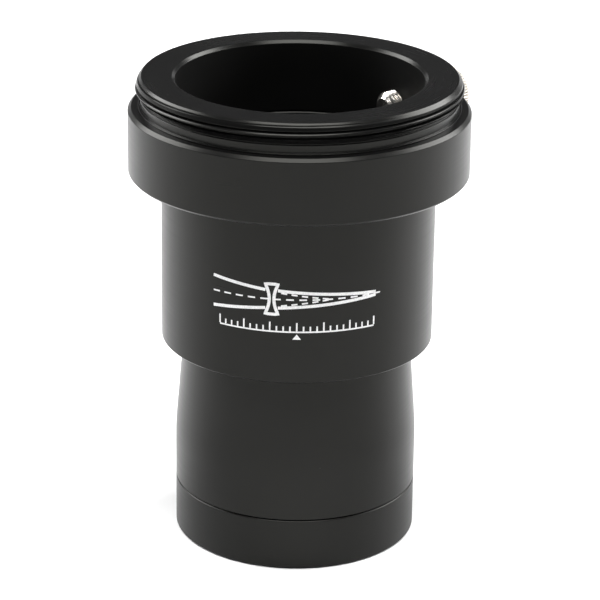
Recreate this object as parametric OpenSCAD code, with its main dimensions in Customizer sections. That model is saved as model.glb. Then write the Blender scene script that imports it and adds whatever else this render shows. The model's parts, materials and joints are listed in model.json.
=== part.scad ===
// A 1.25 inch, 3x Barlow lens with an M42 x 0.75 camera thread around its eyepiece socket.
// The origin is on the optical axis, at the bottom of the nosepiece. +Z points up the axis, to the eyepiece.
// The front, which carries the printed marking, faces -Y. Threads are drawn as rings of the thread's section.

/* [Nosepiece] */
// Outer diameter of the nosepiece, which slides into a 1.25 inch focuser
nose_d = 31.7; // [31.5:0.01:31.75]
// Height of the lens cell's visible band
cell_h = 6.8; // [6.4:0.1:7.4]
// Height of the nose barrel between the lens cell and the body
barrel_h = 20; // [19:0.5:24]
// Height of the barrel's straight part, above which it tapers
straight_h = 7.4; // [6:0.1:9]
// Diameter of the barrel's narrow end, at the body
neck_d = 29.7; // [29.5:0.05:30.5]
// Width of the groove between the lens cell and the barrel
groove_w = 0.2; // [0.1:0.05:0.4]

/* [Body tube] */
// Outer diameter of the body
body_d = 35.4; // [35.2:0.1:36.5]
// Height of the body between the barrel and the collar
body_h = 22.4; // [20:0.1:26]
// Bore that takes a 1.25 inch eyepiece barrel
socket_d = 31.8; // [31.78:0.01:31.9]
// Depth of the socket below the top face, which stops the eyepiece barrel
socket_depth = 29; // [27:0.5:30]

/* [Collar] */
// Outer diameter of the collar
collar_d = 43.9; // [43.2:0.1:46]
// Height of the collar
collar_h = 8.7; // [8.6:0.1:10]
// Height of the thumbscrew's axis above the collar's underside
screw_rise = 5.8; // [5.6:0.1:6]
// Direction of the thumbscrew, counted from +X towards +Y
screw_azimuth = 39; // [30:1:60]

/* [Camera thread] */
// Major diameter of the camera thread
thread_d = 42; // [42:0.01:42.1]
// Pitch of the camera thread
thread_pitch = 0.75; // [0.7:0.01:0.8]
// Height of the smooth neck below the thread
neck_h = 1.7; // [1.6:0.05:2]
// Height of the thread, from the neck to the top face
thread_h = 2.3; // [2.28:0.01:2.5]

/* [Thumbscrew] */
// Diameter of the knurled head
knob_d = 7.6; // [6:0.1:8]
// Thickness of the knurled head
knob_t = 3.6; // [3:0.1:5]
// Distance from the optical axis to the screw's tip
tip_r = 13; // [12.5:0.1:14]
// Gap between the knurled head and the collar
knob_gap = 0.45; // [0.4:0.05:0.8]
// Number of grooves around the knurled head
knurls = 32; // [24:2:40]

/* [Lens] */
// Diameter of both glass elements
lens_d = 19; // [18.8:0.1:19.2]
// Radius of the concave front surface of the negative element
front_radius = 18; // [17.5:0.1:20]
// Radius of the cemented surface between the elements
cement_radius = 15; // [14.5:0.1:16]
// Radius of the concave back surface of the positive element
back_radius = 45; // [40:1:60]
// Centre thickness of the negative element
negative_t = 1.5; // [1.3:0.1:1.8]
// Centre thickness of the positive element
positive_t = 3.8; // [3.6:0.1:4]

/* [Hidden] */
$fn = 128;

black = [0.09, 0.09, 0.09];
matt_black = [0.05, 0.05, 0.05];
nickel = [0.80, 0.79, 0.76];
crown_glass = [0.62, 0.74, 0.72, 0.5];
flint_glass = [0.60, 0.58, 0.74, 0.5];

eps = 0.01;            // overlap of a cut with the face it opens
fit_gap = 0.03;       // radial gap of a screwed or sliding joint
thread_depth = 0.65;  // depth of a thread's section, as a share of its pitch
crest = 0.125;        // width of a thread's crest and of its root, as a share of its pitch

// Heights along the axis
body_z = cell_h + barrel_h;
collar_z = body_z + body_h;
ring_z = collar_z + collar_h;
thread_z = ring_z + neck_h;
top_z = thread_z + thread_h;
screw_z = collar_z + screw_rise;
socket_floor_z = top_z - socket_depth;

// Nosepiece
nose_r = nose_d / 2;
neck_r = neck_d / 2;
cell_thread_r = 14.25;  // M28.5 x 0.6, the thread of 1.25 inch filters
cell_pitch = 0.6;
cell_thread_turns = 7;
cell_socket_h = 5.4;    // depth of the barrel's thread that takes the lens cell
barrel_bore_r = 13.2;
barrel_spigot_r = 14.5;
barrel_spigot_h = 5.6;
groove_depth = 0.55;
ridge_pitch = 0.75;     // ridges in the barrel that stop glare
ridge_depth = 0.3;
baffle_r = 10.6;
baffle_t = 0.8;
baffle_ledge = 0.4;     // width of the ledge that the light baffle rests on

// Body, collar and camera thread ring
body_r = body_d / 2;
socket_r = socket_d / 2;
socket_chamfer = 0.4;
body_spigot_r = 17.3;
body_spigot_h = 2.95;
collar_r = collar_d / 2;
shoulder_h = 3.2;       // height of the collar's lower bore
ring_spigot_r = 18.6;
thread_r = thread_d / 2;
lead_in_r = thread_r - 0.75;
lead_in_slope = 1.1;    // fall of the lead-in chamfer for each unit of radius
band_r = thread_r - 0.65;
lip_r = thread_r - 0.35;

// Thumbscrew, an M4 x 0.7
screw_r = 1.95;
screw_pitch = 0.7;
screw_hole_r = 2;
tail_r = 1.5;           // plain end of the stud, inside the head
tail_l = 2.8;
knob_r = knob_d / 2;
knob_in = collar_r + knob_gap;

// Lens cell
lens_r = lens_d / 2;
lens_gap = 0.05;
clear_r = 8.75;
face_r = 9;             // rim of the front surface, outside which the element is flat
recess_h = 4.2;
lip_t = 0.6;
seat_z = recess_h + lip_t;
front_z = seat_z + sag(front_radius, face_r);
cement_z = front_z + negative_t;
back_z = cement_z + positive_t;
back_edge_z = back_z + sag(back_radius, lens_r);
retainer_r = 10;
retainer_h = 1.7;
cell_top = back_edge_z + retainer_h + 0.6;
cell_tube_r = 12.6;

// Depth of a sphere's cap of radius r on a sphere of radius big
function sag(big, r) = big - sqrt(big * big - r * r);

// Section of a thread that stands out to radius r, in rings from height z up
function outer_thread(r, pitch, z, turns) = [
    for (i = [0:turns - 1], p = [[1, 0], [1, crest], [0, 0.5], [0, 0.5 + crest]])
        [r - p[0] * thread_depth * pitch, z + (i + p[1]) * pitch]
];

// Section of a bore of radius r with V grooves cut outwards by depth, in rings from height z down
function grooved_bore(r, depth, pitch, z, turns) = [
    for (i = [0:turns - 1], p = [[0, 0], [0, 0.3], [1, 0.6], [1, 0.7]])
        [r + p[0] * depth, z - (i + p[1]) * pitch]
];

module turned(outline) {
    rotate_extrude() polygon(outline);
}

// Places its children with +X along the thumbscrew and the origin on the optical axis
module along_screw() {
    translate([0, 0, screw_z]) rotate([0, 0, screw_azimuth]) children();
}

// Radial tapped hole for the thumbscrew
module screw_hole() {
    along_screw() translate([socket_r - 2, 0, 0]) rotate([0, 90, 0]) cylinder(r = screw_hole_r, h = 10);
}

// Cone that chamfers the start of the camera thread
module lead_in() {
    reach = 20;
    translate([0, 0, top_z - reach]) cylinder(r1 = lead_in_r + reach / lead_in_slope, r2 = lead_in_r, h = reach);
}

// Ring with the camera thread outside and the top of the socket inside; its spigot drops into the collar
module t_thread_ring() {
    turns = 3;
    undercut = 0.2;
    lip_h = 0.14;
    band_z = ring_z + 0.25;
    runout_z = thread_z - 0.4;
    spigot_z = collar_z + shoulder_h;
    outline = concat(
        [[socket_r, top_z - socket_chamfer], [socket_r, spigot_z], [ring_spigot_r, spigot_z]],
        [[ring_spigot_r, ring_z], [lip_r, ring_z], [lip_r, ring_z + lip_h], [band_r, band_z]],
        [[band_r, runout_z - undercut / 2], [band_r - undercut, runout_z]],
        outer_thread(thread_r, thread_pitch, thread_z + 0.05, turns),
        [[thread_r, top_z], [socket_r + socket_chamfer, top_z]]
    );
    color(black) difference() {
        intersection() {
            turned(outline);
            lead_in();
        }
        screw_hole();
    }
}

// Plain ring around the joint of the body and the thread ring, tapped for the thumbscrew
module thumbscrew_collar() {
    top_chamfer = 0.45;
    bottom_chamfer = 0.3;
    inner_z = collar_z + shoulder_h;
    color(black) difference() {
        turned([
            [body_spigot_r + fit_gap, collar_z], [collar_r - bottom_chamfer, collar_z],
            [collar_r, collar_z + bottom_chamfer], [collar_r, ring_z - top_chamfer],
            [collar_r - top_chamfer, ring_z], [ring_spigot_r + fit_gap, ring_z],
            [ring_spigot_r + fit_gap, inner_z], [body_spigot_r + fit_gap, inner_z]
        ]);
        screw_hole();
    }
}

// Main tube: the eyepiece socket, with a threaded floor that holds the nose barrel
module body_tube() {
    edge = 0.2;
    rim_z = collar_z + body_spigot_h;
    color(black) turned([
        [barrel_spigot_r + fit_gap, body_z], [body_r - edge, body_z], [body_r, body_z + edge],
        [body_r, collar_z], [body_spigot_r, collar_z], [body_spigot_r, rim_z],
        [socket_r + socket_chamfer, rim_z], [socket_r, rim_z - socket_chamfer],
        [socket_r, socket_floor_z], [barrel_spigot_r + fit_gap, socket_floor_z]
    ]);
}

// Nosepiece barrel: straight at the bottom, tapered to its neck, ridged inside
module nose_barrel() {
    bore_z = cell_h + cell_socket_h;
    female_r = cell_thread_r + fit_gap;
    spigot_top = body_z + barrel_spigot_h;
    relief_r = barrel_spigot_r - 0.4;
    relief_z = body_z + 0.5;
    seat_r = barrel_bore_r + baffle_ledge;
    seat_z = spigot_top - 2 * baffle_t;
    ridge_top = seat_z - 0.8;
    ridges = floor((ridge_top - bore_z - 1) / ridge_pitch);
    outline = concat(
        [[female_r, bore_z], [female_r, cell_h], [nose_r - groove_depth, cell_h]],
        [[nose_r - groove_depth, cell_h + groove_w], [nose_r, cell_h + groove_w], [nose_r, cell_h + straight_h]],
        [[neck_r, body_z], [relief_r, body_z], [relief_r, relief_z], [barrel_spigot_r, relief_z + 0.3]],
        [[barrel_spigot_r, spigot_top - 0.3], [barrel_spigot_r - 0.3, spigot_top]],
        [[seat_r, spigot_top], [seat_r, seat_z], [barrel_bore_r, seat_z]],
        grooved_bore(barrel_bore_r, ridge_depth, ridge_pitch, ridge_top, ridges),
        [[barrel_bore_r, bore_z]]
    );
    color(black) turned(outline);
}

// Thin blackened stop, seated in the counterbore at the top of the nose barrel
module light_baffle() {
    seat = body_z + barrel_spigot_h - 2 * baffle_t;
    outer_r = barrel_bore_r + baffle_ledge - 0.05;
    color(matt_black) turned([
        [baffle_r, seat + baffle_t], [baffle_r, seat + 0.6 * baffle_t], [baffle_r + 0.6, seat],
        [outer_r, seat], [outer_r, seat + baffle_t]
    ]);
}

// Screw-in housing of the lens: a filter thread below, the seat of the glass, and the spigot above
module lens_cell() {
    edge = 0.2;
    filter_depth = 0.32;
    filter_turns = 5;
    filter_r = cell_thread_r - filter_depth;
    relief_r = cell_thread_r - 0.5;
    spigot_z = cell_h + 0.5;
    spigot_top = spigot_z + cell_thread_turns * cell_pitch;
    pocket_r = lens_r + lens_gap;
    retainer_z = back_edge_z - 0.1;
    color(black) turned(concat(
        [[filter_r + 0.5, 0], [nose_r - edge, 0], [nose_r, edge], [nose_r, cell_h - edge / 2]],
        [[nose_r - edge / 2, cell_h], [relief_r, cell_h]],
        outer_thread(cell_thread_r, cell_pitch, spigot_z, cell_thread_turns),
        [[cell_thread_r - thread_depth * cell_pitch, spigot_top], [cell_tube_r, spigot_top + 0.1]],
        [[cell_tube_r, cell_top], [retainer_r + fit_gap, cell_top], [retainer_r + fit_gap, retainer_z]],
        [[pocket_r, retainer_z], [pocket_r, seat_z], [clear_r, seat_z]],
        [[clear_r, recess_h + edge], [clear_r + edge, recess_h], [filter_r, recess_h]],
        grooved_bore(filter_r, filter_depth, cell_pitch, recess_h - 0.7, filter_turns),
        [[filter_r, 0.5]]
    ));
}

// Biconcave crown element; its flat rim rests on the cell's lip
module negative_element() {
    rim_z = cement_z + sag(cement_radius, lens_r);
    color(crown_glass) difference() {
        translate([0, 0, seat_z]) cylinder(r = lens_r, h = rim_z - seat_z);
        intersection() {
            translate([0, 0, front_z - front_radius]) sphere(r = front_radius);
            translate([0, 0, seat_z - 5]) cylinder(r = face_r, h = 10);
        }
        translate([0, 0, cement_z + cement_radius]) sphere(r = cement_radius);
    }
}

// Positive flint meniscus, cemented into the hollow of the crown element
module positive_element() {
    color(flint_glass) difference() {
        intersection() {
            translate([0, 0, cement_z - 1]) cylinder(r = lens_r, h = back_edge_z - cement_z + 1);
            translate([0, 0, cement_z + cement_radius]) sphere(r = cement_radius);
        }
        translate([0, 0, back_z + back_radius]) sphere(r = back_radius);
    }
}

// Threaded ring that clamps the glass, with two slots for a spanner
module lens_retaining_ring() {
    slot_w = 1.2;
    slot_h = 0.8;
    top = back_edge_z + retainer_h;
    color(matt_black) difference() {
        turned([
            [clear_r, back_edge_z], [retainer_r, back_edge_z], [retainer_r, top],
            [clear_r + 0.4, top], [clear_r, top - 0.4]
        ]);
        translate([-retainer_r - 1, -slot_w / 2, top - slot_h]) cube([2 * retainer_r + 2, slot_w, slot_h + 1]);
    }
}

// Threaded stud of the thumbscrew; its plain tail is held in the knurled head
module thumbscrew_stud() {
    tip_chamfer = 0.45;
    length = knob_in - tip_r;
    turns = floor((length - tip_chamfer - 0.8) / screw_pitch);
    root = screw_r - thread_depth * screw_pitch;
    color(nickel) along_screw() translate([tip_r, 0, 0]) rotate([0, 90, 0]) turned(concat(
        [[0, 0], [root - 0.1, 0]],
        outer_thread(screw_r, screw_pitch, tip_chamfer, turns),
        [[root, tip_chamfer + turns * screw_pitch], [root, length], [tail_r - fit_gap, length]],
        [[tail_r - fit_gap, length + tail_l], [0, length + tail_l]]
    ));
}

// Knurled head of the thumbscrew
module thumbscrew_knob() {
    chamfer = 0.35;
    groove_r = knob_r - 0.28;
    dish_r = knob_r - 1;
    dish_h = 0.3;
    step = 360 / knurls;
    toothed = [for (i = [0:knurls - 1], p = [[groove_r, 0], [knob_r, 0.35], [knob_r, 0.65]])
        p[0] * [cos((i + p[1]) * step), sin((i + p[1]) * step)]];
    color(nickel) along_screw() translate([knob_in, 0, 0]) rotate([0, 90, 0]) difference() {
        intersection() {
            linear_extrude(knob_t) polygon(toothed);
            turned([
                [0, 0], [knob_r - chamfer, 0], [knob_r, chamfer],
                [knob_r, knob_t - chamfer], [knob_r - chamfer, knob_t], [0, knob_t]
            ]);
        }
        translate([0, 0, -eps]) cylinder(r = tail_r, h = tail_l + 0.1 + eps);
        translate([0, 0, knob_t - dish_h]) cylinder(r1 = dish_r - dish_h, r2 = dish_r + eps, h = dish_h + eps);
    }
}

t_thread_ring();
thumbscrew_collar();
thumbscrew_knob();
thumbscrew_stud();
body_tube();
nose_barrel();
light_baffle();
lens_cell();
negative_element();
positive_element();
lens_retaining_ring();
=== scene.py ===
"""Looks of a 1.25 inch Barlow lens with an M42 camera thread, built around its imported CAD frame.

Outlines are (radius, height) points in millimetres, around the optical axis or the thumbscrew's own.
A third number in a point is how far its corner is rounded back. The camera, the lamps, the floor and
the finished meshes are in Blender's metres.
"""

import json
import math

import bmesh
import bpy
from mathutils import Matrix, Vector


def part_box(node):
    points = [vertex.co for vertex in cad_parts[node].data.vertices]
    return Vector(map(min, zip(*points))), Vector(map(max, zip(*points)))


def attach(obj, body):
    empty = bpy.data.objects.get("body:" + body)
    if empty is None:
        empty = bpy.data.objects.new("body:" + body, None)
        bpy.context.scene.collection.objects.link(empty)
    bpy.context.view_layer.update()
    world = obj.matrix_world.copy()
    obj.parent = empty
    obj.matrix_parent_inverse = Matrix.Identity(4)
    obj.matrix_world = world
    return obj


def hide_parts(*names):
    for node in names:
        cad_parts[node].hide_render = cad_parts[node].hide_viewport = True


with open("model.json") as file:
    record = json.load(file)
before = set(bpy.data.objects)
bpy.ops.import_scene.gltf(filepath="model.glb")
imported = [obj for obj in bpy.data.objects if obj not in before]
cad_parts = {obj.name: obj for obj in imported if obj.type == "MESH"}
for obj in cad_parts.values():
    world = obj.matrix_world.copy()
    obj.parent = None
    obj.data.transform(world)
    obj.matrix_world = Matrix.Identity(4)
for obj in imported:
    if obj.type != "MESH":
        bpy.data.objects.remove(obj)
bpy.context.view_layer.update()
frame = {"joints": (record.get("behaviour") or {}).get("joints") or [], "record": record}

MM = 0.001
FRONT = -math.pi / 2

# ---------------------------------------------------------------- sizes from the frame


def mount_radius(name):
    """Radius of one of the record's round mounts, in millimetres."""
    return next(m["dims"]["r_mm"] for m in frame["record"]["mounts"] if m["name"] == name)


def joint_axis(name):
    """Unit axis of one of the record's joints."""
    return Vector(next(j["axis"] for j in frame["joints"] if j["name"] == name)).normalized()


def bottom(node):
    """Height of a CAD node's lowest point, in millimetres."""
    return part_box(node)[0].z / MM


def top(node):
    """Height of a CAD node's highest point, in millimetres."""
    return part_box(node)[1].z / MM


def width_radius(node):
    """Outer radius of a turned CAD node, in millimetres."""
    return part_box(node)[1].x / MM


NOSE_R = mount_radius("nosepiece")
SOCKET_R = mount_radius("eyepiece_socket")
CAMERA_THREAD_R = mount_radius("camera_thread")
FILTER_R = mount_radius("filter_thread")
BODY_R = width_radius("body_tube")
COLLAR_R = width_radius("thumbscrew_collar")
LENS_R = width_radius("negative_element")
BAFFLE_OUTER_R = width_radius("light_baffle")

CELL_TOP = bottom("nose_barrel")
BODY_Z = bottom("body_tube")
COLLAR_Z = bottom("thumbscrew_collar")
RING_Z = top("thumbscrew_collar")
TOP_Z = top("t_thread_ring")
SPIGOT_TOP = top("nose_barrel")
SEAT_Z = bottom("negative_element")
BACK_EDGE_Z = top("positive_element")
SCREW_Z = (bottom("thumbscrew_stud") + top("thumbscrew_stud")) / 2
SCREW_AXIS = joint_axis("thumbscrew_turn")

# The same sizes as in the CAD source, where no node's box gives them
FIT_GAP = 0.03
RIM_CHAMFER = 0.4
RING_SPIGOT_R = 18.6
BODY_SPIGOT_R = 17.3
BARREL_SPIGOT_R = 14.5
BARREL_BORE_R = 13.2
CELL_THREAD_R = 14.25
CELL_TUBE_R = 12.6
RETAINER_R = 10.0
CLEAR_R = 8.75
CAMERA_PITCH = 0.75
CELL_PITCH = 0.6
SCREW_PITCH = 0.7
SCREW_HOLE_R = 2.0
KNOB_IN = COLLAR_R + 0.45
KNOB_T = 3.6

# Distance of the stud's tip from the optical axis; the CAD's stud reaches 0.9 mm further in
STUD_TIP = 13.9

# Depth of a metric thread from crest to root, in pitches
THREAD_DEPTH = 0.6134

# Fineness of the meshes: columns around an axis, and segments of a rounded corner
STEPS = 360
BORE_STEPS = 240
HOLE_STEPS = 96
ARC_STEPS = 4

# Greatest distance from a rounded corner to the point that keeps its flat side flat
HOLD = 0.02

# ---------------------------------------------------------------- node materials


def new_material(name):
    """A node material, and a helper that adds nodes to it."""
    made = bpy.data.materials.new(name)
    made.use_nodes = True
    tree = made.node_tree
    tree.nodes.clear()

    def add(kind, inputs=None, **settings):
        node = tree.nodes.new(kind)
        for key, value in settings.items():
            setattr(node, key, value)
        for key, value in (inputs or {}).items():
            if isinstance(value, bpy.types.NodeSocket):
                tree.links.new(value, node.inputs[key])
            else:
                node.inputs[key].default_value = value
        return node

    return made, add


def grey(value):
    return (value, value, value, 1.0)


def finish_material(add, shader):
    add("ShaderNodeOutputMaterial", {"Surface": shader.outputs[0]})


def grain(add, where, size_mm, detail=2.0):
    """Noise whose lumps are about size_mm wide."""
    inputs = {"Vector": where, "Scale": 0.6 / (size_mm * MM), "Detail": detail}
    return add("ShaderNodeTexNoise", inputs).outputs[0]


def spread(add, factor, low, high):
    """Maps the usual range of a noise's values to low..high."""
    inputs = {"Value": factor, "From Min": 0.3, "From Max": 0.7, "To Min": low, "To Max": high}
    return add("ShaderNodeMapRange", inputs).outputs[0]


def blend(add, factor, low, high):
    """Mix of two colours."""
    return add("ShaderNodeMix", {0: factor, 6: low, 7: high}, data_type="RGBA").outputs[2]


def math_node(add, operation, *values):
    return add("ShaderNodeMath", dict(enumerate(values)), operation=operation).outputs[0]


def turned_marks(add, where, size_mm):
    """Noise in rings around the piece's Z axis, as a lathe tool leaves."""
    parts = add("ShaderNodeSeparateXYZ", {0: where}).outputs
    flat = add("ShaderNodeCombineXYZ", {0: parts[0], 1: parts[1]}).outputs[0]
    radius = add("ShaderNodeVectorMath", {0: flat}, operation="LENGTH").outputs["Value"]
    ring = add("ShaderNodeCombineXYZ", {0: radius, 1: parts[2]}).outputs[0]
    return grain(add, ring, size_mm)


def dust_mask(add, where):
    """1 on a few specks of dust, up to a tenth of a millimetre wide, and 0 elsewhere."""
    spacing = 1.5 * MM
    cells = add("ShaderNodeTexVoronoi", {"Vector": where, "Scale": 1 / spacing})
    reach = spread(add, grain(add, where, 3.0), -0.06, 0.035)
    return math_node(add, "LESS_THAN", cells.outputs["Distance"], reach)


def anodised(name, dark, light, rough, gloss, dust):
    """Black anodised aluminium: fine grain and turning marks, slow changes of tone, specks of dust."""
    dust_colour = (0.5, 0.48, 0.45, 1.0)
    warm_gloss = (1.0, 1.0, 0.93, 1.0)
    relief_depth = 0.01 * MM
    made, add = new_material(name)
    where = add("ShaderNodeTexCoord").outputs["Object"]
    cloud = grain(add, where, 7.0, 3.0)
    fine = grain(add, where, 0.09, 3.0)
    marks = turned_marks(add, where, 0.12)
    tone = spread(add, cloud, 0.0, 1.0)
    dusty = math_node(add, "MULTIPLY", dust_mask(add, where), dust)
    colour = blend(add, dusty, blend(add, tone, grey(dark), grey(light)), dust_colour)
    slow_change = spread(add, cloud, rough - 0.02, rough + 0.02)
    roughness = math_node(add, "ADD", slow_change, spread(add, marks, -0.02, 0.02))
    relief = math_node(add, "ADD", fine, math_node(add, "MULTIPLY", marks, 0.5))
    bump = add("ShaderNodeBump", {"Strength": 0.12, "Distance": relief_depth, "Height": relief})
    shader = add(
        "ShaderNodeBsdfPrincipled",
        {
            "Base Color": colour,
            "Roughness": roughness,
            "Specular IOR Level": gloss,
            "Specular Tint": warm_gloss,
            "IOR": 1.5,
            "Normal": bump.outputs[0],
        },
    )
    finish_material(add, shader)
    return made


def nickel(name, dark, light, rough):
    """Nickel plate over fine turning marks."""
    relief_depth = 0.01 * MM
    made, add = new_material(name)
    where = add("ShaderNodeTexCoord").outputs["Object"]
    cloud = grain(add, where, 1.2, 3.0)
    marks = turned_marks(add, where, 0.06)
    colour = blend(add, spread(add, cloud, 0.0, 1.0), dark, light)
    bump = add("ShaderNodeBump", {"Strength": 0.15, "Distance": relief_depth, "Height": marks})
    shader = add(
        "ShaderNodeBsdfPrincipled",
        {
            "Base Color": colour,
            "Metallic": 1.0,
            "Roughness": spread(add, cloud, rough, rough + 0.12),
            "Normal": bump.outputs[0],
        },
    )
    finish_material(add, shader)
    return made


def coated_glass(name, ior, film_nm, tint):
    """Clear optical glass under an anti-reflection film, with faint smears on it."""
    film_ior = 1.38
    made, add = new_material(name)
    where = add("ShaderNodeTexCoord").outputs["Object"]
    smears = grain(add, where, 1.5, 4.0)
    shader = add(
        "ShaderNodeBsdfPrincipled",
        {
            "Base Color": tint,
            "Roughness": spread(add, smears, 0.0, 0.03),
            "IOR": ior,
            "Transmission Weight": 1.0,
            "Thin Film Thickness": film_nm,
            "Thin Film IOR": film_ior,
        },
    )
    finish_material(add, shader)
    return made


def ink():
    """White screen-printing ink, a little uneven in cover."""
    made, add = new_material("white_ink")
    where = add("ShaderNodeTexCoord").outputs["Object"]
    cover = spread(add, grain(add, where, 0.12, 3.0), 0.0, 1.0)
    inputs = {"Base Color": blend(add, cover, grey(0.66), grey(0.86)), "Roughness": 0.55}
    finish_material(add, add("ShaderNodeBsdfPrincipled", inputs))
    return made


SATIN_BLACK = anodised("black_anodised", dark=0.0035, light=0.005, rough=0.31, gloss=0.20, dust=0.12)
THREAD_BLACK = anodised("thread_black", dark=0.0035, light=0.005, rough=0.25, gloss=0.215, dust=0.6)
CELL_BLACK = anodised("cell_black", dark=0.0035, light=0.005, rough=0.36, gloss=0.19, dust=0.12)
BORE_BLACK = anodised("bore_black", dark=0.0025, light=0.0035, rough=0.55, gloss=0.12, dust=0.1)
EDGE_PAINT = anodised("edge_paint", dark=0.006, light=0.01, rough=0.7, gloss=0.2, dust=0.0)
# The knob's nickel is darker than real nickel plate: painted shade, standing in for the knurling's
# shade and for dimmer reflections of the lit floor.
SHADED_NICKEL = nickel("nickel_plate", (0.40, 0.375, 0.335, 1.0), (0.50, 0.47, 0.425, 1.0), rough=0.34)
BRIGHT_NICKEL = nickel("bright_nickel", (0.78, 0.75, 0.70, 1.0), (0.90, 0.87, 0.82, 1.0), rough=0.18)
CROWN_GLASS = coated_glass("crown_glass", ior=1.517, film_nm=115.0, tint=(0.97, 1.0, 0.98, 1.0))
FLINT_GLASS = coated_glass("flint_glass", ior=1.673, film_nm=98.0, tint=(0.98, 0.98, 1.0, 1.0))
WHITE_INK = ink()

# ---------------------------------------------------------------- turned and threaded meshes


def rounded(outline, before, after, arc_steps=ARC_STEPS):
    """The outline's points, with a curve in place of each corner that has a third number.

    before and after are the points next to the outline's ends. A point just outside each end of a curve
    keeps the flat faces next to it flat in smooth shading.
    """
    made = []
    points = [before] + list(outline) + [after]
    for last, point, following in zip(points, points[1:], points[2:]):
        corner = Vector(point[:2])
        if len(point) == 2:
            made.append(tuple(corner))
            continue
        back = Vector(last[:2]) - corner
        ahead = Vector(following[:2]) - corner
        start = back.normalized() * min(point[2], 0.4 * back.length)
        end = ahead.normalized() * min(point[2], 0.4 * ahead.length)
        made.append(tuple(corner + start + back.normalized() * min(HOLD, 0.1 * back.length)))
        for step in range(arc_steps + 1):
            t = step / arc_steps
            made.append(tuple(corner + start * (1 - t) ** 2 + end * t * t))
        made.append(tuple(corner + end + ahead.normalized() * min(HOLD, 0.1 * ahead.length)))
    return made


def end_of(part, index):
    """The first or last point of a part, which is an outline or rows of points around the axis."""
    point = part[index]
    return point[0] if isinstance(point, list) else point


def joined(parts, steps):
    """Rows for a closed section, given in parts that are outlines or rows around the axis."""
    rows = []
    for i, part in enumerate(parts):
        if isinstance(part[0], list):
            rows += part
            continue
        outline = rounded(part, end_of(parts[i - 1], -1), end_of(parts[(i + 1) % len(parts)], 0))
        rows += [[point] * (steps + 1) for point in outline]
    return rows


def thread_section(pitch, depth, bevel, arc_steps, finest):
    """One pitch of a thread: places in pitches from the crest, with heights from 0, the root, to 1.

    The points are no further apart than finest, in millimetres.
    """
    crest = pitch / 16
    flank = depth * math.tan(math.radians(30))
    corners = [(depth, crest, 0.05 * pitch), (0.0, crest + flank, 0.10 * pitch)]
    if bevel:
        corners = [(depth, crest, 0.2 * bevel), (depth - bevel, crest + bevel, 0.3 * bevel)]
        corners.append((0.0, pitch / 2 - crest, 0.05 * pitch))
    middle, end = (depth, 0.0), (0.0, pitch / 2)
    points = [middle] + rounded(corners, middle, end, arc_steps) + [end]
    half = [points[0]]
    for point in points[1:]:
        last = half[-1]
        parts = max(1, math.ceil(math.dist(last, point) / finest))
        half += [tuple(Vector(last).lerp(Vector(point), (i + 1) / parts)) for i in range(parts)]
    half = [(z / pitch, r / depth) for r, z in half]
    return [(-place, height) for place, height in half[:0:-1]] + half


def section_height(section, place):
    """Height of the thread's section at a place counted in pitches."""
    place = (place + 0.5) % 1.0 - 0.5
    for (a, low), (b, high) in zip(section, section[1:]):
        if place <= b:
            return low + (high - low) * (place - a) / (b - a)
    return 0.0


def thread_rows(
    root, crest, pitch, low, highs, start, steps, bevel=0.0, arc_steps=2, finest=0.12, starts=1
):
    """Rows of a right-handed helical thread between a low cone and one or more high ones.

    Each cone is (height, radius, slope): the thread grows out of that radius, by slope for each unit of
    height. start is the height of a crest at the front. bevel is how far the crests' edges are broken.
    With starts = 0 the thread is a stack of plain rings.
    """
    low_z, low_r, low_slope = low
    high_z = max(z for z, r, slope in highs)
    section = thread_section(pitch, abs(crest - root), bevel, arc_steps, finest)
    first = math.floor((low_z - start) / pitch) - 2
    last = math.ceil((high_z - start) / pitch) + 1
    rows = []
    for turn in range(first, last):
        for place, height in section[:-1]:
            row = []
            for step in range(steps + 1):
                ahead = starts * (step / steps - FRONT / (2 * math.pi))
                free_z = start + pitch * (turn + place + ahead)
                z = min(max(free_z, low_z), high_z)
                here = height if z == free_z else section_height(section, (z - start) / pitch - ahead)
                r = min(root + (crest - root) * here, low_r + (z - low_z) * low_slope)
                for cone_z, cone_r, slope in highs:
                    r = min(r, cone_r + (cone_z - z) * slope)
                row.append((r, z))
            rows.append(row)
    return rows


def mesh_from_rows(name, rows, material):
    """A closed solid from rows of (radius, height) points, the last row joined to the first."""
    same_point = 0.0002 * MM
    steps = len(rows[0]) - 1
    bm = bmesh.new()
    grid = []
    for row in rows:
        verts = []
        for step, (r, z) in enumerate(row):
            angle = 2 * math.pi * step / steps
            verts.append(bm.verts.new((r * math.cos(angle) * MM, r * math.sin(angle) * MM, z * MM)))
        grid.append(verts)
    for i, row in enumerate(grid):
        after = grid[(i + 1) % len(grid)]
        for step in range(steps):
            bm.faces.new((row[step], row[step + 1], after[step + 1], after[step]))
    bmesh.ops.remove_doubles(bm, verts=bm.verts, dist=same_point)
    bmesh.ops.delete(bm, geom=[edge for edge in bm.edges if not edge.link_faces], context="EDGES")
    bmesh.ops.recalc_face_normals(bm, faces=bm.faces)
    mesh = bpy.data.meshes.new(name)
    bm.to_mesh(mesh)
    bm.free()
    return add_object(name, mesh, material)


def add_object(name, mesh, material):
    mesh.materials.append(material)
    made = bpy.data.objects.new(name, mesh)
    bpy.context.scene.collection.objects.link(made)
    shade(made)
    return made


def shade(obj, sharp_degrees=35):
    """Smooth shading that keeps hard edges."""
    for face in obj.data.polygons:
        face.use_smooth = True
    obj.data.set_sharp_from_angle(angle=math.radians(sharp_degrees))


def paint(obj, material, where):
    """Gives another material to the faces whose centre's (radius, height) passes the test."""
    obj.data.materials.append(material)
    index = len(obj.data.materials) - 1
    for face in obj.data.polygons:
        centre = face.center / MM
        if where(math.hypot(centre.x, centre.y), centre.z):
            face.material_index = index


def stand_for(obj, node, body):
    """The piece rides on the body and hides the CAD node."""
    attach(obj, body)
    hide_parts(node)


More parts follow.
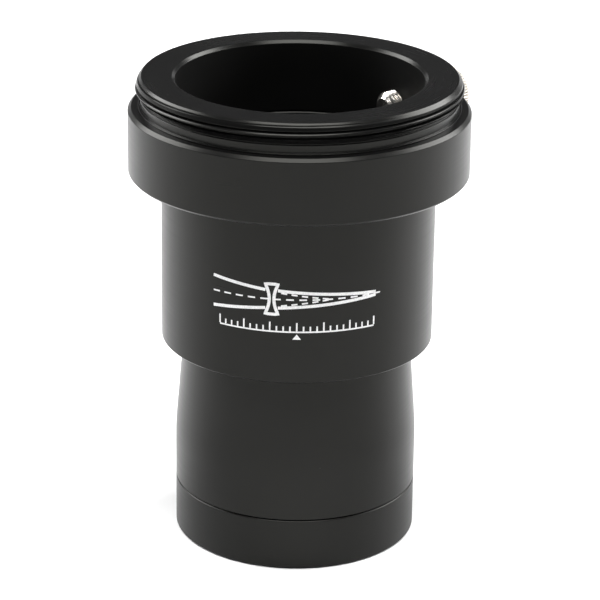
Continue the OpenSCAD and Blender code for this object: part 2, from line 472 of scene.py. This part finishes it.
def cut(obj, cutter):
    """Cuts a closed mesh out of the piece for good, and removes the cutter."""
    hole = obj.modifiers.new("hole", "BOOLEAN")
    hole.object = cutter
    hole.operation = "DIFFERENCE"
    hole.solver = "EXACT"
    bpy.context.view_layer.update()
    depsgraph = bpy.context.evaluated_depsgraph_get()
    obj.data = bpy.data.meshes.new_from_object(obj.evaluated_get(depsgraph))
    obj.modifiers.clear()
    bpy.data.objects.remove(cutter)
    shade(obj)


def cutter_from(bm):
    """An object made of the bmesh, to be cut out of a piece."""
    mesh = bpy.data.meshes.new("cutter")
    bm.to_mesh(mesh)
    bm.free()
    cutter = bpy.data.objects.new("cutter", mesh)
    bpy.context.scene.collection.objects.link(cutter)
    return cutter


def screw_matrix(distance):
    """Places +Z along the thumbscrew's axis, with the origin at a distance from the optical axis."""
    turn = Vector((0, 0, 1)).rotation_difference(SCREW_AXIS).to_matrix().to_4x4()
    origin = SCREW_AXIS * distance * MM + Vector((0, 0, SCREW_Z * MM))
    return Matrix.Translation(origin) @ turn


def drill_screw_hole(obj):
    """Cuts the thumbscrew's hole, with a small countersink at the collar's wall."""
    start = SOCKET_R - 2
    straight_l, flare = 7.8, 1.0
    cutter_l = straight_l + flare
    outline = [
        (0.0, 0.0),
        (SCREW_HOLE_R, 0.0),
        (SCREW_HOLE_R, straight_l),
        (SCREW_HOLE_R + flare, cutter_l),
        (0.0, cutter_l),
    ]
    cutter = mesh_from_rows("cutter", joined([outline], HOLE_STEPS), SATIN_BLACK)
    cutter.matrix_world = screw_matrix(start)
    cut(obj, cutter)


# ---------------------------------------------------------------- the black turned pieces


def t_thread_ring():
    """Ring with the helical M42 x 0.75 thread, the lead-in chamfer and the mouth of the socket."""
    crest_at_front = 59.785
    root_r = CAMERA_THREAD_R - 0.60
    undercut_r = CAMERA_THREAD_R - 0.80
    undercut_z = TOP_Z - 2.65
    band_r = CAMERA_THREAD_R - 0.65
    lip_r = CAMERA_THREAD_R - 0.35
    lip_z = RING_Z + 0.01
    lip_top = RING_Z + 0.22
    lead_in_r = CAMERA_THREAD_R - 0.78
    spigot_z = top("body_tube") + 0.1
    low = (undercut_z, undercut_r, 0.87)
    highs = [(TOP_Z, lead_in_r, 0.95), (TOP_Z - 0.44, lead_in_r + 0.42, 0.4)]
    parts = [
        [
            (SOCKET_R + RIM_CHAMFER, TOP_Z, 0.03),
            (SOCKET_R, TOP_Z - RIM_CHAMFER, 0.05),
            (SOCKET_R, spigot_z, 0.04),
            (RING_SPIGOT_R, spigot_z, 0.08),
            (RING_SPIGOT_R, lip_z),
            (lip_r, lip_z),
            (lip_r, lip_top, 0.08),
            (band_r, lip_top, 0.05),
            (band_r, undercut_z - 0.14, 0.06),
            (undercut_r, undercut_z - 0.05),
        ],
        thread_rows(
            root_r, CAMERA_THREAD_R, CAMERA_PITCH, low, highs, crest_at_front, STEPS,
            bevel=0.14, finest=0.10,
        ),
        [(lead_in_r, TOP_Z)],
    ]
    ring = mesh_from_rows("t_thread_ring_piece", joined(parts, STEPS), THREAD_BLACK)
    drill_screw_hole(ring)
    paint(ring, BORE_BLACK, lambda r, z: r < SOCKET_R + 0.02 or z < RING_Z)
    stand_for(ring, "t_thread_ring", "housing")


def thumbscrew_collar():
    """Plain collar with rounded chamfers, drilled for the thumbscrew."""
    inner_z = bottom("t_thread_ring")
    lower_chamfer, upper_chamfer = 0.32, 0.45
    outline = [
        (BODY_SPIGOT_R + FIT_GAP, COLLAR_Z, 0.1),
        (COLLAR_R - lower_chamfer, COLLAR_Z, 0.08),
        (COLLAR_R, COLLAR_Z + lower_chamfer, 0.08),
        (COLLAR_R, RING_Z - upper_chamfer, 0.06),
        (COLLAR_R - upper_chamfer, RING_Z, 0.06),
        (RING_SPIGOT_R + FIT_GAP, RING_Z, 0.1),
        (RING_SPIGOT_R + FIT_GAP, inner_z),
        (BODY_SPIGOT_R + FIT_GAP, inner_z),
    ]
    collar = mesh_from_rows("thumbscrew_collar_piece", joined([outline], STEPS), SATIN_BLACK)
    drill_screw_hole(collar)
    stand_for(collar, "thumbscrew_collar", "housing")


def body_tube():
    """Main tube, with the socket's bore and its chamfered inner rim."""
    rim_z = top("body_tube")
    rim_chamfer, foot_chamfer = 0.25, 0.2
    socket_depth = 29.0
    floor_z = TOP_Z - socket_depth
    outline = [
        (BARREL_SPIGOT_R + FIT_GAP, BODY_Z, 0.1),
        (BODY_R - foot_chamfer, BODY_Z, 0.05),
        (BODY_R, BODY_Z + foot_chamfer, 0.05),
        (BODY_R, COLLAR_Z),
        (BODY_SPIGOT_R, COLLAR_Z),
        (BODY_SPIGOT_R, rim_z, 0.1),
        (SOCKET_R + rim_chamfer, rim_z, 0.03),
        (SOCKET_R, rim_z - rim_chamfer, 0.03),
        (SOCKET_R, floor_z),
        (BARREL_SPIGOT_R + FIT_GAP, floor_z, 0.1),
    ]
    tube = mesh_from_rows("body_tube_piece", joined([outline], STEPS), SATIN_BLACK)
    paint(tube, BORE_BLACK, lambda r, z: r < SOCKET_R + 0.02 and z > BODY_Z + 1)
    stand_for(tube, "body_tube", "housing")


def nose_barrel():
    """Barrel with a tapered neck, a thread for the lens cell and ridges inside that stop glare."""
    groove_r = NOSE_R - 0.55
    groove_top = CELL_TOP + 0.2
    straight_top = CELL_TOP + 7.4
    neck_r = NOSE_R - 1.0
    relief_r = BARREL_SPIGOT_R - 0.4
    relief_top = BODY_Z + 0.5
    ledge_z = bottom("light_baffle")
    ledge_r = BAFFLE_OUTER_R + 0.05
    female_r = CELL_THREAD_R + FIT_GAP
    female_top = CELL_TOP + 5.4

    ridge_pitch = 0.75
    ridge_r = BARREL_BORE_R + 0.3
    ridge_top = ledge_z - 0.8
    ridge_bottom = female_top + 1.2
    first_ridge = ridge_bottom + ridge_pitch
    ridge_low = (ridge_bottom, BARREL_BORE_R, 1.0)
    ridge_high = [(ridge_top, BARREL_BORE_R, 1.0)]
    ridges = thread_rows(
        BARREL_BORE_R, ridge_r, ridge_pitch, ridge_low, ridge_high, first_ridge, BORE_STEPS,
        arc_steps=1, finest=1.0, starts=0,
    )

    groove_bottom_r = female_r + 0.26
    first_groove = CELL_TOP + 1.1
    thread_low = (CELL_TOP + 0.3, female_r, 1.0)
    thread_high = [(female_top - 0.2, female_r, 1.0)]
    thread = thread_rows(
        female_r, groove_bottom_r, CELL_PITCH, thread_low, thread_high, first_groove, BORE_STEPS,
        arc_steps=1, finest=1.0,
    )

    parts = [
        [
            (female_r, CELL_TOP, 0.1),
            (groove_r, CELL_TOP, 0.03),
            (groove_r, groove_top),
            (NOSE_R, groove_top, 0.05),
            (NOSE_R, straight_top, 1.5),
            (neck_r, BODY_Z),
            (relief_r, BODY_Z),
            (relief_r, relief_top),
            (BARREL_SPIGOT_R, relief_top + 0.3),
            (BARREL_SPIGOT_R, SPIGOT_TOP, 0.3),
            (ledge_r, SPIGOT_TOP, 0.1),
            (ledge_r, ledge_z),
            (BARREL_BORE_R, ledge_z, 0.05),
        ],
        ridges[::-1],
        [(BARREL_BORE_R, female_top, 0.05), (female_r, female_top)],
        thread[::-1],
    ]
    barrel = mesh_from_rows("nose_barrel_piece", joined(parts, BORE_STEPS), SATIN_BLACK)
    paint(barrel, BORE_BLACK, lambda r, z: r < BARREL_SPIGOT_R + 0.1 and z > CELL_TOP + 0.1)
    stand_for(barrel, "nose_barrel", "housing")


def lens_cell():
    """Screw-in cell: filter thread below, the glass's seat, and the male thread and tube above."""
    recess_z = SEAT_Z - 0.6
    recess_chamfer = 0.2
    relief_r = CELL_THREAD_R - 0.5
    root_r = CELL_THREAD_R - THREAD_DEPTH * CELL_PITCH
    pocket_r = LENS_R + 0.05
    retainer_z = BACK_EDGE_Z - 0.1
    cell_top = top("lens_cell")

    thread_top = CELL_TOP + 4.75
    first_crest = CELL_TOP + 1.4
    male_low = (CELL_TOP + 0.4, relief_r, 1.2)
    male_high = [(thread_top, relief_r, 1.2)]
    male = thread_rows(
        root_r, CELL_THREAD_R, CELL_PITCH, male_low, male_high, first_crest, BORE_STEPS,
        arc_steps=1, finest=1.0,
    )

    mouth_chamfer, foot_chamfer, upper_chamfer = 0.5, 0.22, 0.12
    first_groove = 1.0
    groove_bottom_r = FILTER_R + 0.32
    filter_low = (0.55, FILTER_R, 1.2)
    filter_high = [(recess_z - 0.5, FILTER_R, 1.2)]
    filter_thread = thread_rows(
        FILTER_R, groove_bottom_r, CELL_PITCH, filter_low, filter_high, first_groove, BORE_STEPS,
        arc_steps=1, finest=1.0,
    )

    parts = [
        [
            (FILTER_R, mouth_chamfer),
            (FILTER_R + mouth_chamfer, 0.0, 0.06),
            (NOSE_R - foot_chamfer, 0.0, 0.06),
            (NOSE_R, foot_chamfer, 0.06),
            (NOSE_R, CELL_TOP - upper_chamfer, 0.04),
            (NOSE_R - upper_chamfer, CELL_TOP, 0.03),
            (relief_r, CELL_TOP),
        ],
        male,
        [
            (CELL_TUBE_R, thread_top),
            (CELL_TUBE_R, cell_top, 0.15),
            (RETAINER_R + FIT_GAP, cell_top, 0.1),
            (RETAINER_R + FIT_GAP, retainer_z),
            (pocket_r, retainer_z),
            (pocket_r, SEAT_Z),
            (CLEAR_R, SEAT_Z, 0.04),
            (CLEAR_R, recess_z + recess_chamfer, 0.04),
            (CLEAR_R + recess_chamfer, recess_z, 0.04),
            (FILTER_R, recess_z),
        ],
        filter_thread[::-1],
    ]
    cell = mesh_from_rows("lens_cell_piece", joined(parts, BORE_STEPS), CELL_BLACK)
    paint(cell, BORE_BLACK, lambda r, z: r < FILTER_R - 0.3 and z > SEAT_Z - 0.01)
    stand_for(cell, "lens_cell", "lens_housing")


def light_baffle():
    """Thin stop with a bevelled aperture, seated at the top of the barrel."""
    low, high = bottom("light_baffle"), top("light_baffle")
    aperture, edge_t, bevel_w = 10.6, 0.32, 0.6
    outline = [
        (aperture, high, 0.03),
        (aperture, high - edge_t, 0.03),
        (aperture + bevel_w, low, 0.05),
        (BAFFLE_OUTER_R, low, 0.06),
        (BAFFLE_OUTER_R, high, 0.06),
    ]
    baffle = mesh_from_rows("light_baffle_piece", joined([outline], BORE_STEPS), BORE_BLACK)
    stand_for(baffle, "light_baffle", "housing")


def lens_retaining_ring():
    """Ring that clamps the glass, with two slots for a spanner."""
    low, high = bottom("lens_retaining_ring"), top("lens_retaining_ring")
    slot_w, slot_h = 1.2, 0.8
    chamfer = 0.4
    outline = [
        (CLEAR_R, low),
        (RETAINER_R, low),
        (RETAINER_R, high, 0.1),
        (CLEAR_R + chamfer, high, 0.05),
        (CLEAR_R, high - chamfer, 0.05),
    ]
    ring = mesh_from_rows("lens_retaining_ring_piece", joined([outline], BORE_STEPS), BORE_BLACK)
    bm = bmesh.new()
    bmesh.ops.create_cube(bm, size=1)
    bmesh.ops.scale(bm, vec=Vector((3 * RETAINER_R, slot_w, 2 * slot_h)) * MM, verts=bm.verts)
    bmesh.ops.translate(bm, vec=(0, 0, high * MM), verts=bm.verts)
    cut(ring, cutter_from(bm))
    stand_for(ring, "lens_retaining_ring", "lens_housing")


# ---------------------------------------------------------------- glass


def cap(radius, rim_r, centre_z, count=24):
    """Points of a sphere's cap that meets the axis at centre_z and bends up for a positive radius."""
    points = []
    for step in range(count + 1):
        r = rim_r * step / count
        sag = abs(radius) - math.sqrt(radius * radius - r * r)
        points.append((r, centre_z + math.copysign(sag, radius)))
    return points


def lens_elements():
    """Cemented doublet: a biconcave crown and a flint meniscus, with ground and blackened edges."""
    front_radius, cement_radius, back_radius = 18.0, 15.0, 45.0
    crown_t, flint_t, cement_t = 1.5, 3.8, 0.01
    face_r = 9.0
    front_z = SEAT_Z + front_radius - math.sqrt(front_radius**2 - face_r**2)
    cement_z = front_z + crown_t
    back_z = cement_z + flint_t
    crown = cap(-front_radius, face_r, front_z) + [(LENS_R, SEAT_Z)]
    crown += cap(cement_radius, LENS_R, cement_z)[::-1]
    flint = cap(cement_radius, LENS_R, cement_z + cement_t) + cap(back_radius, LENS_R, back_z)[::-1]

    def ground(r, z):
        """Whether a face is on an element's edge or on the flat around its front surface."""
        return r > LENS_R - 0.01 or (r > face_r and z < SEAT_Z + 0.01)

    for node, outline, glass, slot in (
        ("negative_element", crown, CROWN_GLASS, "crown_glass"),
        ("positive_element", flint, FLINT_GLASS, "flint_glass"),
    ):
        element = mesh_from_rows(node + "_piece", joined([outline], BORE_STEPS), glass)
        paint(element, EDGE_PAINT, ground)
        stand_for(element, node, "lens_glass")


# ---------------------------------------------------------------- thumbscrew


def thumbscrew_stud():
    """M4 x 0.7 stud with a helical thread and a chamfered tip; its plain tail is inside the knob.

    It rides on the head's body, so that its helix turns with the head.
    """
    crest = 1.95
    root = crest - THREAD_DEPTH * SCREW_PITCH
    length = KNOB_IN - STUD_TIP
    tail_r = 1.45
    tail_end = length + 2.8
    tip_l = 0.3
    tip_r = root - 0.02
    first_crest = 0.75
    thread_low = (tip_l, tip_r, 1.0)
    thread_high = [(length - 0.3, root, 1.0)]
    thread = thread_rows(
        root, crest, SCREW_PITCH, thread_low, thread_high, first_crest, BORE_STEPS,
        bevel=0.08, finest=0.2,
    )
    parts = [
        [(0.0, 0.0), (root - tip_l, 0.0, 0.12), (tip_r, tip_l)],
        thread,
        [(root, length), (tail_r, length), (tail_r, tail_end), (0.0, tail_end)],
    ]
    stud = mesh_from_rows("thumbscrew_stud_piece", joined(parts, BORE_STEPS), BRIGHT_NICKEL)
    stud.matrix_world = screw_matrix(STUD_TIP)
    stand_for(stud, "thumbscrew_stud", "screw_head")


def thumbscrew_knob():
    """Knurled head with chamfered ends and a dished face."""
    knurls = 60
    steps = knurls * 6
    radius = (top("thumbscrew_knob") - bottom("thumbscrew_knob")) / 2
    knurl_depth = 0.13
    groove_half, groove_flank = 0.36, 0.3
    chamfer = 0.35
    bore_r, bore_l = 1.5, 2.9
    dish_edge_r, dish_floor_r = radius - 0.95, radius - 1.3

    def knurled(z):
        """Row at height z: grooves, cut down to the chamfers' cones."""
        cone = radius - max(0.0, chamfer - z, z - (KNOB_T - chamfer))
        row = []
        for step in range(steps + 1):
            place = (step / steps * knurls) % 1.0
            groove = min(1.0, max(0.0, (groove_half - abs(place - 0.5)) / groove_flank))
            row.append((min(cone, radius - knurl_depth * groove), z))
        return row

    ends = [chamfer * i / 5 for i in range(6)]
    heights = ends + [KNOB_T / 2] + [KNOB_T - z for z in ends[::-1]]
    parts = [
        [(0.0, bore_l), (bore_r, bore_l), (bore_r, 0.0, 0.1)],
        [knurled(z) for z in heights],
        [(dish_edge_r, KNOB_T, 0.08), (dish_floor_r, KNOB_T - 0.3, 0.12), (0.0, KNOB_T - 0.34)],
    ]
    # The knob takes the darkened nickel, with painted shade in its colour.
    knob = mesh_from_rows("thumbscrew_knob_piece", joined(parts, steps), SHADED_NICKEL)
    knob.matrix_world = screw_matrix(KNOB_IN)
    stand_for(knob, "thumbscrew_knob", "screw_head")


# ---------------------------------------------------------------- printed marking

# Places are (across, height): the arc length from the front and the height, in millimetres
AXIS_HEIGHT = 38.1
SCALE_HEIGHT = 33.8
HALF_WIDTH = 11.2
SIGN_X = -3.2

# Widths of the lines, and how far the ink's faces are above and below the wall
BOLD = 0.40
FINE = 0.20
INK = 0.01


def on_body(bm, across, height, rise):
    """A vertex above the body's wall by rise."""
    angle = FRONT + across / BODY_R
    r = BODY_R + rise
    return bm.verts.new((r * math.cos(angle) * MM, r * math.sin(angle) * MM, height * MM))


def printed_line(bm, points, width, closed=False):
    """A raised line of ink through the points, bent around the body in short steps."""
    finest = 0.4
    ends = points[1:] + points[:1] if closed else points[1:]
    path = []
    for a, b in zip(points, ends):
        a, b = Vector(a), Vector(b)
        parts = max(1, math.ceil((b - a).length / finest))
        path += [a.lerp(b, i / parts) for i in range(parts)]
    if not closed:
        path.append(Vector(points[-1]))
    rings = []
    for i, point in enumerate(path):
        before = path[i - 1] if i or closed else point
        after = path[(i + 1) % len(path)] if i + 1 < len(path) or closed else point
        along = (after - point).normalized() + (point - before).normalized()
        side = Vector((-along.y, along.x)).normalized() * width / 2
        corners = ((point - side, -INK), (point - side, INK), (point + side, INK), (point + side, -INK))
        rings.append([on_body(bm, place.x, place.y, rise) for place, rise in corners])
    spans = list(zip(rings, rings[1:] + rings[:1]))
    for a, b in spans if closed else spans[:-1]:
        for i in range(4):
            bm.faces.new((a[i], a[(i + 1) % 4], b[(i + 1) % 4], b[i]))
    if not closed:
        bm.faces.new(rings[0])
        bm.faces.new(rings[-1][::-1])


def printed_patch(bm, points):
    """A small raised polygon of ink on the body."""
    low = [on_body(bm, x, z, -INK) for x, z in points]
    high = [on_body(bm, x, z, INK) for x, z in points]
    bm.faces.new(low[::-1])
    bm.faces.new(high)
    for i in range(len(points)):
        j = (i + 1) % len(points)
        bm.faces.new((low[i], low[j], high[j], high[i]))


def lens_sign(bm):
    """The outline of a biconcave lens."""
    half_h, waist, edge = 2.0, 0.3, 0.85
    side = []
    for step in range(-8, 9):
        share = step / 8
        side.append((SIGN_X + waist + (edge - waist) * share**2, AXIS_HEIGHT + half_h * share))
    mirrored = [(2 * SIGN_X - x, z) for x, z in side[::-1]]
    printed_line(bm, side + mirrored, BOLD, closed=True)


def ray(bm, sign):
    """One edge of the light: up to the lens, on to the far focus, and dashed to the near one."""
    start_h, lens_h, leaving_h, end_h = 2.0, 1.2, 1.15, 0.2
    lens_gap = 0.8
    near_focus_x, far_focus_x = 4.4, 10.4
    dash_start_x, dash_start_h = 1.2, 0.85
    dash_pitch, dash_l = 1.3, 0.75

    def place(x, rise):
        """A place above the optical axis, or under it for the lower ray."""
        return (x, AXIS_HEIGHT + sign * rise)

    printed_line(bm, [place(-HALF_WIDTH, start_h), place(SIGN_X - lens_gap, lens_h)], BOLD)
    printed_line(bm, [place(SIGN_X + lens_gap, leaving_h), place(far_focus_x, end_h)], BOLD)
    for i in range(5):
        x0 = SIGN_X + dash_start_x + i * dash_pitch
        dash = []
        for x in (x0, x0 + dash_l):
            rise = dash_start_h * (near_focus_x - x) / (near_focus_x - SIGN_X - dash_start_x)
            dash.append(place(x, rise))
        printed_line(bm, dash, FINE)


def optical_axis(bm):
    """The dashed line through the middle of the lens."""
    dash_pitch, dash_l = 1.64, 0.95
    for i in range(14):
        x0 = -HALF_WIDTH + i * dash_pitch
        printed_line(bm, [(x0, AXIS_HEIGHT), (x0 + dash_l, AXIS_HEIGHT)], FINE)


def plain_scale(bm):
    """A scale without numbers, every fourth mark longer, over a small pointer."""
    half_l = HALF_WIDTH - 1
    mark_pitch, gap = 0.85, 0.12
    long_h, short_h = 1.25, 0.75
    printed_line(bm, [(-half_l, SCALE_HEIGHT), (half_l, SCALE_HEIGHT)], FINE)
    for i in range(25):
        x = -half_l + i * mark_pitch
        mark_top = SCALE_HEIGHT + (long_h if i % 4 == 0 else short_h)
        printed_line(bm, [(x, SCALE_HEIGHT + gap), (x, mark_top)], FINE)
    half_w, base_z, point_z = 0.55, SCALE_HEIGHT - 1.0, SCALE_HEIGHT - 0.3
    printed_patch(bm, [(-half_w, base_z), (half_w, base_z), (0.0, point_z)])


def marking():
    """A ray diagram of a negative lens over a plain scale, in the place of printed lettering."""
    bm = bmesh.new()
    lens_sign(bm)
    ray(bm, -1)
    ray(bm, 1)
    optical_axis(bm)
    plain_scale(bm)
    bmesh.ops.recalc_face_normals(bm, faces=bm.faces)
    mesh = bpy.data.meshes.new("ray_diagram")
    bm.to_mesh(mesh)
    bm.free()
    mark = add_object("ray_diagram", mesh, WHITE_INK)
    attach(mark, "housing")


# ---------------------------------------------------------------- stage


def floor():
    """A round white floor, just under the lens."""
    radius, gap = 0.38, 0.02 * MM
    made, add = new_material("studio_floor")
    where = add("ShaderNodeTexCoord").outputs["Object"]
    tone = spread(add, grain(add, where, 400.0), 0.90, 0.93)
    shader = add("ShaderNodeBsdfDiffuse", {"Color": tone})
    finish_material(add, shader)
    bm = bmesh.new()
    bmesh.ops.create_circle(bm, cap_ends=True, segments=96, radius=radius)
    mesh = bpy.data.meshes.new("floor")
    bm.to_mesh(mesh)
    bm.free()
    mesh.materials.append(made)
    plane = bpy.data.objects.new("floor", mesh)
    plane.location.z = -gap
    bpy.context.scene.collection.objects.link(plane)


def softbox(name, place, aim, width, height, radiance):
    """A rectangular area light of the given radiance, turned towards aim."""
    data = bpy.data.lights.new(name, "AREA")
    data.shape = "RECTANGLE"
    data.size = width
    data.size_y = height
    data.energy = radiance * math.pi * width * height
    lamp = bpy.data.objects.new(name, data)
    lamp.location = place
    lamp.rotation_euler = (Vector(aim) - Vector(place)).to_track_quat("-Z", "Y").to_euler()
    bpy.context.scene.collection.objects.link(lamp)


def sky():
    """Dim surroundings over a bright horizon, as a white sweep gives."""
    fade_start, fade_end = 0.05, 0.16
    horizon, overhead = 1.0, 0.06
    world = bpy.data.worlds.new("studio")
    bpy.context.scene.world = world
    world.use_nodes = True
    nodes, links = world.node_tree.nodes, world.node_tree.links
    where = nodes.new("ShaderNodeTexCoord")
    parts = nodes.new("ShaderNodeSeparateXYZ")
    fade = nodes.new("ShaderNodeMapRange")
    fade.inputs["From Min"].default_value = fade_start
    fade.inputs["From Max"].default_value = fade_end
    fade.inputs["To Min"].default_value = horizon
    fade.inputs["To Max"].default_value = overhead
    links.new(where.outputs["Generated"], parts.inputs[0])
    links.new(parts.outputs["Z"], fade.inputs["Value"])
    links.new(fade.outputs[0], nodes["Background"].inputs["Strength"])
    nodes["Background"].inputs["Color"].default_value = grey(1.0)


def studio():
    """A softbox above the front, and one behind the lens on each side, aimed at the floor beside it."""
    sky()
    softbox("overhead", (0.0, -0.30, 0.85), (0.0, 0.0, 0.05), width=0.68, height=0.40, radiance=9.0)
    for name, side, radiance in (("back_left", -1, 10.0), ("back_right", 1, 11.5)):
        place, aim = (side * 0.55, 0.25, 0.40), (side * 0.14, 0.06, 0.0)
        softbox(name, place, aim, width=0.45, height=0.40, radiance=radiance)
    bpy.context.scene.view_settings.view_transform = "Standard"


def camera():
    """Camera at the height and distance of the product photograph's, with its slight roll."""
    distance = 0.37653
    target = Vector((0.0, 0.0, 0.031257))
    elevation = math.radians(21.217)
    roll = math.radians(0.785)
    forward = Vector((0.0, math.cos(elevation), -math.sin(elevation)))
    right = Vector((1.0, 0.0, 0.0))
    up = right.cross(forward)
    rolled_right = right * math.cos(roll) + up * math.sin(roll)
    rolled_up = up * math.cos(roll) - right * math.sin(roll)
    data = bpy.data.cameras.new("camera")
    data.sensor_width = 36.0
    data.lens = 172.65
    data.shift_x = 0.00475
    data.clip_start = 0.01
    data.clip_end = 20.0
    made = bpy.data.objects.new("camera", data)
    axes = Matrix((rolled_right, rolled_up, -forward)).transposed().to_4x4()
    made.matrix_world = Matrix.Translation(target - forward * distance) @ axes
    bpy.context.scene.collection.objects.link(made)
    bpy.context.scene.camera = made


camera()
studio()
floor()
t_thread_ring()
thumbscrew_collar()
body_tube()
nose_barrel()
light_baffle()
lens_cell()
lens_retaining_ring()
lens_elements()
thumbscrew_stud()
thumbscrew_knob()
marking()
